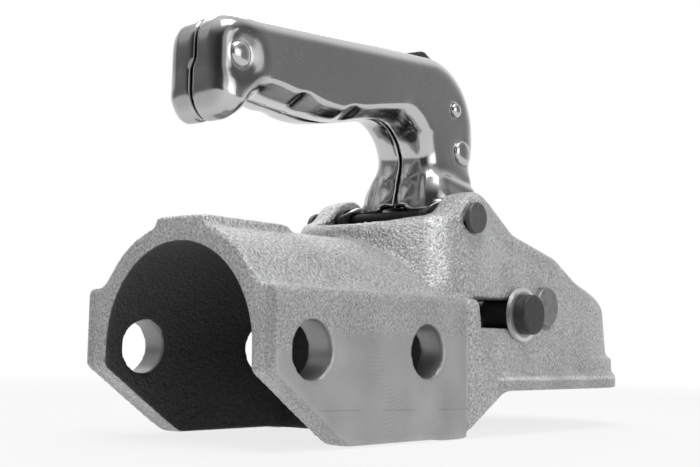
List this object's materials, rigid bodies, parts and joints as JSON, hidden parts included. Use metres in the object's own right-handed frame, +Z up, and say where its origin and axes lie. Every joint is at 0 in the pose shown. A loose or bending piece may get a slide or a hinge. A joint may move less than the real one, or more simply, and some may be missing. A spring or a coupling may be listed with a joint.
{
  "type": "trailer ball coupler",
  "caption": "Cast trailer coupler with a drawbar shell, a ball socket, a clamping jaw, a sliding lock bolt and a riveted lever handle.",
  "frame": {"origin": "centre of the 50 mm tow ball in the socket", "axes": "+X towards the towing vehicle, +Z up, the head of the lock bolt on the -Y side"},
  "size_m": [0.222, 0.0911, 0.1375],
  "materials": {
    "cast_housing": "zinc-plated rough casting",
    "bright_handle": "bright zinc-plated pressed sheet",
    "bright_rivet": "bright zinc-plated rivet",
    "dark_pin": "dark flat rivet end",
    "grey_pin": "grey turned steel",
    "black_bolt": "black oxide",
    "bright_washer": "bright zinc-plated",
    "plain_steel": "plain steel",
    "spring_steel": "drawn wire",
    "dark_catch": "dark satin"
  },
  "bodies": {
    "housing": {"housing": "cast_housing", "pivot_pin": "dark_pin", "jaw_pin": "grey_pin", "pivot_spacer_near": "plain_steel", "pivot_spacer_far": "plain_steel", "jaw_spacer_near": "plain_steel", "jaw_spacer_far": "plain_steel", "spring_guide": "plain_steel", "locking_spring": "spring_steel"},
    "slide": {"locking_slide": "plain_steel", "locking_bolt": "black_bolt", "washer_near": "bright_washer", "washer_far": "bright_washer", "bolt_nut": "bright_washer"},
    "jaw": {"clamping_jaw": "plain_steel"},
    "handle": {"handle_shell_near": "bright_handle", "handle_shell_far": "bright_handle", "tip_rivet": "bright_rivet", "catch_pin": "bright_rivet", "neck_rivet": "bright_rivet", "tip_spacer": "plain_steel", "neck_spacer": "plain_steel", "catch_spring": "spring_steel"},
    "catch": {"safety_catch": "dark_catch"}
  },
  "joints": [
    {"name": "handle_hinge", "type": "hinge", "parent": "housing", "child": "handle", "pos_m": [-0.078, 0, 0.0493], "axis": [0, 1, 0], "range_deg": [0, 45]},
    {"name": "bolt_slide", "type": "slide", "parent": "housing", "child": "slide", "axis": [-1, 0, 0], "range_m": [0, 0.02], "stiffness_N_per_m": 600, "springref_m": -0.01, "deforming": ["locking_spring"]},
    {"name": "jaw_hinge", "type": "hinge", "parent": "housing", "child": "jaw", "pos_m": [-0.0352, 0, 0.0209], "axis": [0, 1, 0], "range_deg": [0, 15]},
    {"name": "catch_hinge", "type": "hinge", "parent": "handle", "child": "catch", "pos_m": [-0.0586, 0, 0.0918], "axis": [0, 1, 0], "range_deg": [0, 8], "stiffness_Nm_per_rad": 0.3, "springref_deg": -8.59, "deforming": ["catch_spring"]}
  ],
  "couplings": [
    {"joint": "bolt_slide", "follows": "handle_hinge", "m_per_rad": 0.02546},
    {"joint": "jaw_hinge", "follows": "handle_hinge", "ratio": 0.3333}
  ]
}
